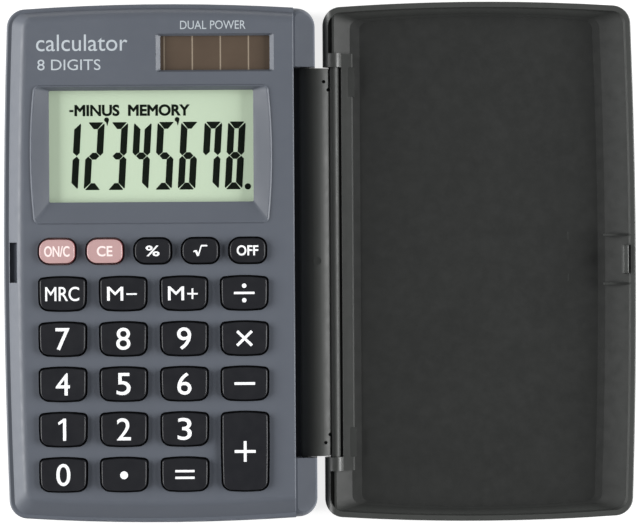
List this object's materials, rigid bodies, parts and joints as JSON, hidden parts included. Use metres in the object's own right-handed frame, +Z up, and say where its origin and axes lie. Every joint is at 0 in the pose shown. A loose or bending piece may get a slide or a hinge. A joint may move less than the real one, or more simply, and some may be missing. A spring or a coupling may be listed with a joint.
{
  "type": "pocket calculator",
  "caption": "Slim pocket calculator with a solar panel, a segment display and sprung keys, and a smoked cover on a two-pivot link that folds right round.",
  "frame": {"origin": "middle of the calculator's flat back, on the surface it lies on", "axes": "+Z up through the face, +Y towards the display's end, +X towards the opened cover"},
  "size_m": [0.1419, 0.1166, 0.0103],
  "materials": {
    "front_plastic": "fine satin texture, grey",
    "back_plastic": "fine matt texture, darker grey",
    "dark_key": "smooth satin, near black",
    "pink_key": "smooth satin, dusty pink",
    "clear_acrylic": "clear and glossy",
    "adhesive": "black adhesive film",
    "polariser": "grey-green film",
    "display_glass": "thin polished glass",
    "reflector": "silvery green reflector film",
    "ribbon_film": "film with carbon tracks",
    "solar_glass": "dark brown amorphous cells behind glass",
    "red_lead": "insulated wire",
    "black_lead": "insulated wire",
    "board_laminate": "brown paper laminate with green mask",
    "black_epoxy": "glossy blob",
    "capacitor_sleeve": "shrink sleeve",
    "chip_ceramic": "small ceramic body",
    "chip_resistor_black": "small coated body",
    "diode_glass": "orange glass bead",
    "dome_rubber": "translucent silicone",
    "carbon_rubber": "carbon loaded",
    "cell_steel": "nickel-plated can",
    "contact_spring": "plated spring strip",
    "screw_steel": "zinc-plated screws",
    "link_plastic": "dark, slightly glossy",
    "smoked_plastic": "smoked, barely translucent"
  },
  "bodies": {
    "calculator": {"upper_housing": "front_plastic", "lower_housing": "back_plastic", "battery_door": "back_plastic", "battery_door_screw": "screw_steel", "housing_screws": "screw_steel", "board_screws": "screw_steel", "display_window": "clear_acrylic", "window_adhesive": "adhesive", "front_polariser": "polariser", "front_display_glass": "display_glass", "rear_display_glass": "display_glass", "rear_reflector": "reflector", "display_ribbon": "ribbon_film", "solar_panel": "solar_glass", "solar_lead_red": "red_lead", "solar_lead_black": "black_lead", "circuit_board": "board_laminate", "chip_globtop": "black_epoxy", "electrolytic_capacitor": "capacitor_sleeve", "chip_capacitors": "chip_ceramic", "chip_resistors": "chip_resistor_black", "steering_diodes": "diode_glass", "dome_mat": "dome_rubber", "carbon_pills": "carbon_rubber", "button_cell": "cell_steel", "battery_contact_inner": "contact_spring", "battery_contact_side": "contact_spring"},
    "link": {"hinge_link": "link_plastic"},
    "cover": {"cover": "smoked_plastic"},
    "key_on_clear": {"key_on_clear": "pink_key"},
    "key_clear_entry": {"key_clear_entry": "pink_key"},
    "key_percent": {"key_percent": "dark_key"},
    "key_root": {"key_root": "dark_key"},
    "key_off": {"key_off": "dark_key"},
    "key_memory_recall": {"key_memory_recall": "dark_key"},
    "key_memory_minus": {"key_memory_minus": "dark_key"},
    "key_memory_plus": {"key_memory_plus": "dark_key"},
    "key_divide": {"key_divide": "dark_key"},
    "key_7": {"key_7": "dark_key"},
    "key_8": {"key_8": "dark_key"},
    "key_9": {"key_9": "dark_key"},
    "key_times": {"key_times": "dark_key"},
    "key_4": {"key_4": "dark_key"},
    "key_5": {"key_5": "dark_key"},
    "key_6": {"key_6": "dark_key"},
    "key_minus": {"key_minus": "dark_key"},
    "key_1": {"key_1": "dark_key"},
    "key_2": {"key_2": "dark_key"},
    "key_3": {"key_3": "dark_key"},
    "key_0": {"key_0": "dark_key"},
    "key_point": {"key_point": "dark_key"},
    "key_equals": {"key_equals": "dark_key"},
    "key_plus": {"key_plus": "dark_key"}
  },
  "joints": [
    {"name": "link_hinge", "type": "hinge", "parent": "calculator", "child": "link", "pos_m": [0.0326, 0, 0.00315], "axis": [0, -1, 0], "range_deg": [-90, 90]},
    {"name": "cover_hinge", "type": "hinge", "parent": "link", "child": "cover", "pos_m": [0.0391, 0, 0.00315], "axis": [0, -1, 0], "range_deg": [-90, 90]},
    {"name": "key_on_clear_press", "type": "slide", "parent": "calculator", "child": "key_on_clear", "axis": [0, 0, -1], "range_m": [0, 0.0008], "stiffness_N_per_m": 600, "springref_m": -0.0002, "deforming": ["dome_mat", "carbon_pills"]},
    {"name": "key_clear_entry_press", "type": "slide", "parent": "calculator", "child": "key_clear_entry", "axis": [0, 0, -1], "range_m": [0, 0.0008], "stiffness_N_per_m": 600, "springref_m": -0.0002, "deforming": ["dome_mat", "carbon_pills"]},
    {"name": "key_percent_press", "type": "slide", "parent": "calculator", "child": "key_percent", "axis": [0, 0, -1], "range_m": [0, 0.0008], "stiffness_N_per_m": 600, "springref_m": -0.0002, "deforming": ["dome_mat", "carbon_pills"]},
    {"name": "key_root_press", "type": "slide", "parent": "calculator", "child": "key_root", "axis": [0, 0, -1], "range_m": [0, 0.0008], "stiffness_N_per_m": 600, "springref_m": -0.0002, "deforming": ["dome_mat", "carbon_pills"]},
    {"name": "key_off_press", "type": "slide", "parent": "calculator", "child": "key_off", "axis": [0, 0, -1], "range_m": [0, 0.0008], "stiffness_N_per_m": 600, "springref_m": -0.0002, "deforming": ["dome_mat", "carbon_pills"]},
    {"name": "key_memory_recall_press", "type": "slide", "parent": "calculator", "child": "key_memory_recall", "axis": [0, 0, -1], "range_m": [0, 0.0008], "stiffness_N_per_m": 600, "springref_m": -0.0002, "deforming": ["dome_mat", "carbon_pills"]},
    {"name": "key_memory_minus_press", "type": "slide", "parent": "calculator", "child": "key_memory_minus", "axis": [0, 0, -1], "range_m": [0, 0.0008], "stiffness_N_per_m": 600, "springref_m": -0.0002, "deforming": ["dome_mat", "carbon_pills"]},
    {"name": "key_memory_plus_press", "type": "slide", "parent": "calculator", "child": "key_memory_plus", "axis": [0, 0, -1], "range_m": [0, 0.0008], "stiffness_N_per_m": 600, "springref_m": -0.0002, "deforming": ["dome_mat", "carbon_pills"]},
    {"name": "key_divide_press", "type": "slide", "parent": "calculator", "child": "key_divide", "axis": [0, 0, -1], "range_m": [0, 0.0008], "stiffness_N_per_m": 600, "springref_m": -0.0002, "deforming": ["dome_mat", "carbon_pills"]},
    {"name": "key_7_press", "type": "slide", "parent": "calculator", "child": "key_7", "axis": [0, 0, -1], "range_m": [0, 0.0008], "stiffness_N_per_m": 600, "springref_m": -0.0002, "deforming": ["dome_mat", "carbon_pills"]},
    {"name": "key_8_press", "type": "slide", "parent": "calculator", "child": "key_8", "axis": [0, 0, -1], "range_m": [0, 0.0008], "stiffness_N_per_m": 600, "springref_m": -0.0002, "deforming": ["dome_mat", "carbon_pills"]},
    {"name": "key_9_press", "type": "slide", "parent": "calculator", "child": "key_9", "axis": [0, 0, -1], "range_m": [0, 0.0008], "stiffness_N_per_m": 600, "springref_m": -0.0002, "deforming": ["dome_mat", "carbon_pills"]},
    {"name": "key_times_press", "type": "slide", "parent": "calculator", "child": "key_times", "axis": [0, 0, -1], "range_m": [0, 0.0008], "stiffness_N_per_m": 600, "springref_m": -0.0002, "deforming": ["dome_mat", "carbon_pills"]},
    {"name": "key_4_press", "type": "slide", "parent": "calculator", "child": "key_4", "axis": [0, 0, -1], "range_m": [0, 0.0008], "stiffness_N_per_m": 600, "springref_m": -0.0002, "deforming": ["dome_mat", "carbon_pills"]},
    {"name": "key_5_press", "type": "slide", "parent": "calculator", "child": "key_5", "axis": [0, 0, -1], "range_m": [0, 0.0008], "stiffness_N_per_m": 600, "springref_m": -0.0002, "deforming": ["dome_mat", "carbon_pills"]},
    {"name": "key_6_press", "type": "slide", "parent": "calculator", "child": "key_6", "axis": [0, 0, -1], "range_m": [0, 0.0008], "stiffness_N_per_m": 600, "springref_m": -0.0002, "deforming": ["dome_mat", "carbon_pills"]},
    {"name": "key_minus_press", "type": "slide", "parent": "calculator", "child": "key_minus", "axis": [0, 0, -1], "range_m": [0, 0.0008], "stiffness_N_per_m": 600, "springref_m": -0.0002, "deforming": ["dome_mat", "carbon_pills"]},
    {"name": "key_1_press", "type": "slide", "parent": "calculator", "child": "key_1", "axis": [0, 0, -1], "range_m": [0, 0.0008], "stiffness_N_per_m": 600, "springref_m": -0.0002, "deforming": ["dome_mat", "carbon_pills"]},
    {"name": "key_2_press", "type": "slide", "parent": "calculator", "child": "key_2", "axis": [0, 0, -1], "range_m": [0, 0.0008], "stiffness_N_per_m": 600, "springref_m": -0.0002, "deforming": ["dome_mat", "carbon_pills"]},
    {"name": "key_3_press", "type": "slide", "parent": "calculator", "child": "key_3", "axis": [0, 0, -1], "range_m": [0, 0.0008], "stiffness_N_per_m": 600, "springref_m": -0.0002, "deforming": ["dome_mat", "carbon_pills"]},
    {"name": "key_0_press", "type": "slide", "parent": "calculator", "child": "key_0", "axis": [0, 0, -1], "range_m": [0, 0.0008], "stiffness_N_per_m": 600, "springref_m": -0.0002, "deforming": ["dome_mat", "carbon_pills"]},
    {"name": "key_point_press", "type": "slide", "parent": "calculator", "child": "key_point", "axis": [0, 0, -1], "range_m": [0, 0.0008], "stiffness_N_per_m": 600, "springref_m": -0.0002, "deforming": ["dome_mat", "carbon_pills"]},
    {"name": "key_equals_press", "type": "slide", "parent": "calculator", "child": "key_equals", "axis": [0, 0, -1], "range_m": [0, 0.0008], "stiffness_N_per_m": 600, "springref_m": -0.0002, "deforming": ["dome_mat", "carbon_pills"]},
    {"name": "key_plus_press", "type": "slide", "parent": "calculator", "child": "key_plus", "axis": [0, 0, -1], "range_m": [0, 0.0008], "stiffness_N_per_m": 600, "springref_m": -0.0002, "deforming": ["dome_mat", "carbon_pills"]}
  ]
}
